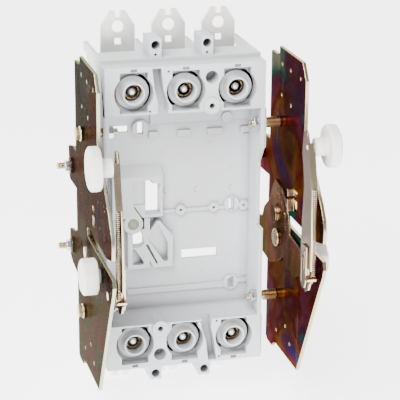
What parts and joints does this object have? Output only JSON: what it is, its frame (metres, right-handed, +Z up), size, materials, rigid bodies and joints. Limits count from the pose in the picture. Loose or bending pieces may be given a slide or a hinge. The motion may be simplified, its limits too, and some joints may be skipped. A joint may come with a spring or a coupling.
{
  "type": "plug-in circuit breaker base",
  "caption": "Plug-in base for a moulded-case circuit breaker, with socket contacts, flat rear terminals, and side plates carrying draw-out levers, cams and lock knobs.",
  "frame": {"origin": "middle of the rear mounting plane, on the base's upright middle rib, half-way up and half-way across", "axes": "+X to the right seen from the front, +Y to the rear, out of the mounting face, +Z up"},
  "size_m": [0.209, 0.2125, 0.342],
  "materials": {
    "grey_plastic": "fine moulded texture",
    "ivory_plastic": "satin",
    "olive_plastic": "matte",
    "plated_copper": "silver plated, satin",
    "contact_brass": "satin",
    "spring_steel": "drawn wire",
    "zinc_steel": "bright zinc",
    "yellow_fastener": "yellow chromate zinc",
    "yellow_plated_steel": "yellow chromate zinc with a rainbow sheen"
  },
  "bodies": {
    "base": {"auxiliary_guide": "grey_plastic", "base_moulding": "grey_plastic", "inspection_plug": "olive_plastic", "left_cam_pin": "zinc_steel", "left_lever_pin": "zinc_steel", "left_lower_bolt": "yellow_fastener", "left_lower_nut": "zinc_steel", "left_lower_spacer": "yellow_fastener", "left_lower_stud": "yellow_fastener", "left_lower_stud_nut": "zinc_steel", "left_side_plate": "yellow_plated_steel", "left_upper_bolt": "yellow_fastener", "left_upper_nut": "zinc_steel", "left_upper_spacer": "yellow_fastener", "left_upper_stud": "yellow_fastener", "left_upper_stud_nut": "zinc_steel", "lower_left_collar": "grey_plastic", "lower_left_terminal": "plated_copper", "lower_left_tulip_contact": "contact_brass", "lower_middle_collar": "grey_plastic", "lower_middle_terminal": "plated_copper", "lower_middle_tulip_contact": "contact_brass", "lower_right_collar": "grey_plastic", "lower_right_terminal": "plated_copper", "lower_right_tulip_contact": "contact_brass", "right_cam_pin": "zinc_steel", "right_lever_pin": "zinc_steel", "right_lower_bolt": "yellow_fastener", "right_lower_nut": "zinc_steel", "right_lower_spacer": "yellow_fastener", "right_lower_stud": "yellow_fastener", "right_lower_stud_nut": "zinc_steel", "right_side_plate": "yellow_plated_steel", "right_upper_bolt": "yellow_fastener", "right_upper_nut": "zinc_steel", "right_upper_spacer": "yellow_fastener", "right_upper_stud": "yellow_fastener", "right_upper_stud_nut": "zinc_steel", "upper_left_collar": "grey_plastic", "upper_left_terminal": "plated_copper", "upper_left_tulip_contact": "contact_brass", "upper_middle_collar": "grey_plastic", "upper_middle_terminal": "plated_copper", "upper_middle_tulip_contact": "contact_brass", "upper_right_collar": "grey_plastic", "upper_right_terminal": "plated_copper", "upper_right_tulip_contact": "contact_brass"},
    "left_lever_arm": {"left_lever": "yellow_plated_steel", "left_operating_knob": "ivory_plastic", "left_latch_spring": "spring_steel"},
    "left_latch": {"left_latch_slide": "yellow_plated_steel"},
    "left_cam": {"left_cam_plate": "yellow_plated_steel"},
    "left_lock": {"left_lock_knob": "ivory_plastic"},
    "right_lever_arm": {"right_lever": "yellow_plated_steel", "right_operating_knob": "ivory_plastic", "right_latch_spring": "spring_steel"},
    "right_latch": {"right_latch_slide": "yellow_plated_steel"},
    "right_cam": {"right_cam_plate": "yellow_plated_steel"},
    "right_lock": {"right_lock_knob": "ivory_plastic"}
  },
  "joints": [
    {"name": "left_lever_hinge", "type": "hinge", "parent": "base", "child": "left_lever_arm", "pos_m": [-0.078, -0.191, -0.026], "axis": [1, 0, 0], "range_deg": [0, 85]},
    {"name": "left_latch_travel", "type": "slide", "parent": "left_lever_arm", "child": "left_latch", "axis": [0, 0, 1], "range_m": [0, 0.005], "stiffness_N_per_m": 400, "springref_m": -0.0005, "deforming": ["left_latch_spring"]},
    {"name": "left_cam_hinge", "type": "hinge", "parent": "base", "child": "left_cam", "pos_m": [-0.0843, -0.092, -0.024], "axis": [1, 0, 0], "range_deg": [0, 12.5]},
    {"name": "left_lock_turn", "type": "hinge", "parent": "base", "child": "left_lock", "pos_m": [-0.09, -0.16, -0.02], "axis": [1, 0, 0], "range_deg": [0, 90]},
    {"name": "right_lever_hinge", "type": "hinge", "parent": "base", "child": "right_lever_arm", "pos_m": [0.078, -0.191, -0.026], "axis": [1, 0, 0], "range_deg": [0, 85]},
    {"name": "right_latch_travel", "type": "slide", "parent": "right_lever_arm", "child": "right_latch", "axis": [0, 0, 1], "range_m": [0, 0.005], "stiffness_N_per_m": 400, "springref_m": -0.0005, "deforming": ["right_latch_spring"]},
    {"name": "right_cam_hinge", "type": "hinge", "parent": "base", "child": "right_cam", "pos_m": [0.0843, -0.092, -0.024], "axis": [1, 0, 0], "range_deg": [0, 12.5]},
    {"name": "right_lock_turn", "type": "hinge", "parent": "base", "child": "right_lock", "pos_m": [0.09, -0.16, -0.02], "axis": [1, 0, 0], "range_deg": [0, 90]}
  ],
  "couplings": [
    {"joint": "left_cam_hinge", "follows": "left_lever_hinge", "ratio": 0.147},
    {"joint": "right_cam_hinge", "follows": "right_lever_hinge", "ratio": 0.147}
  ]
}
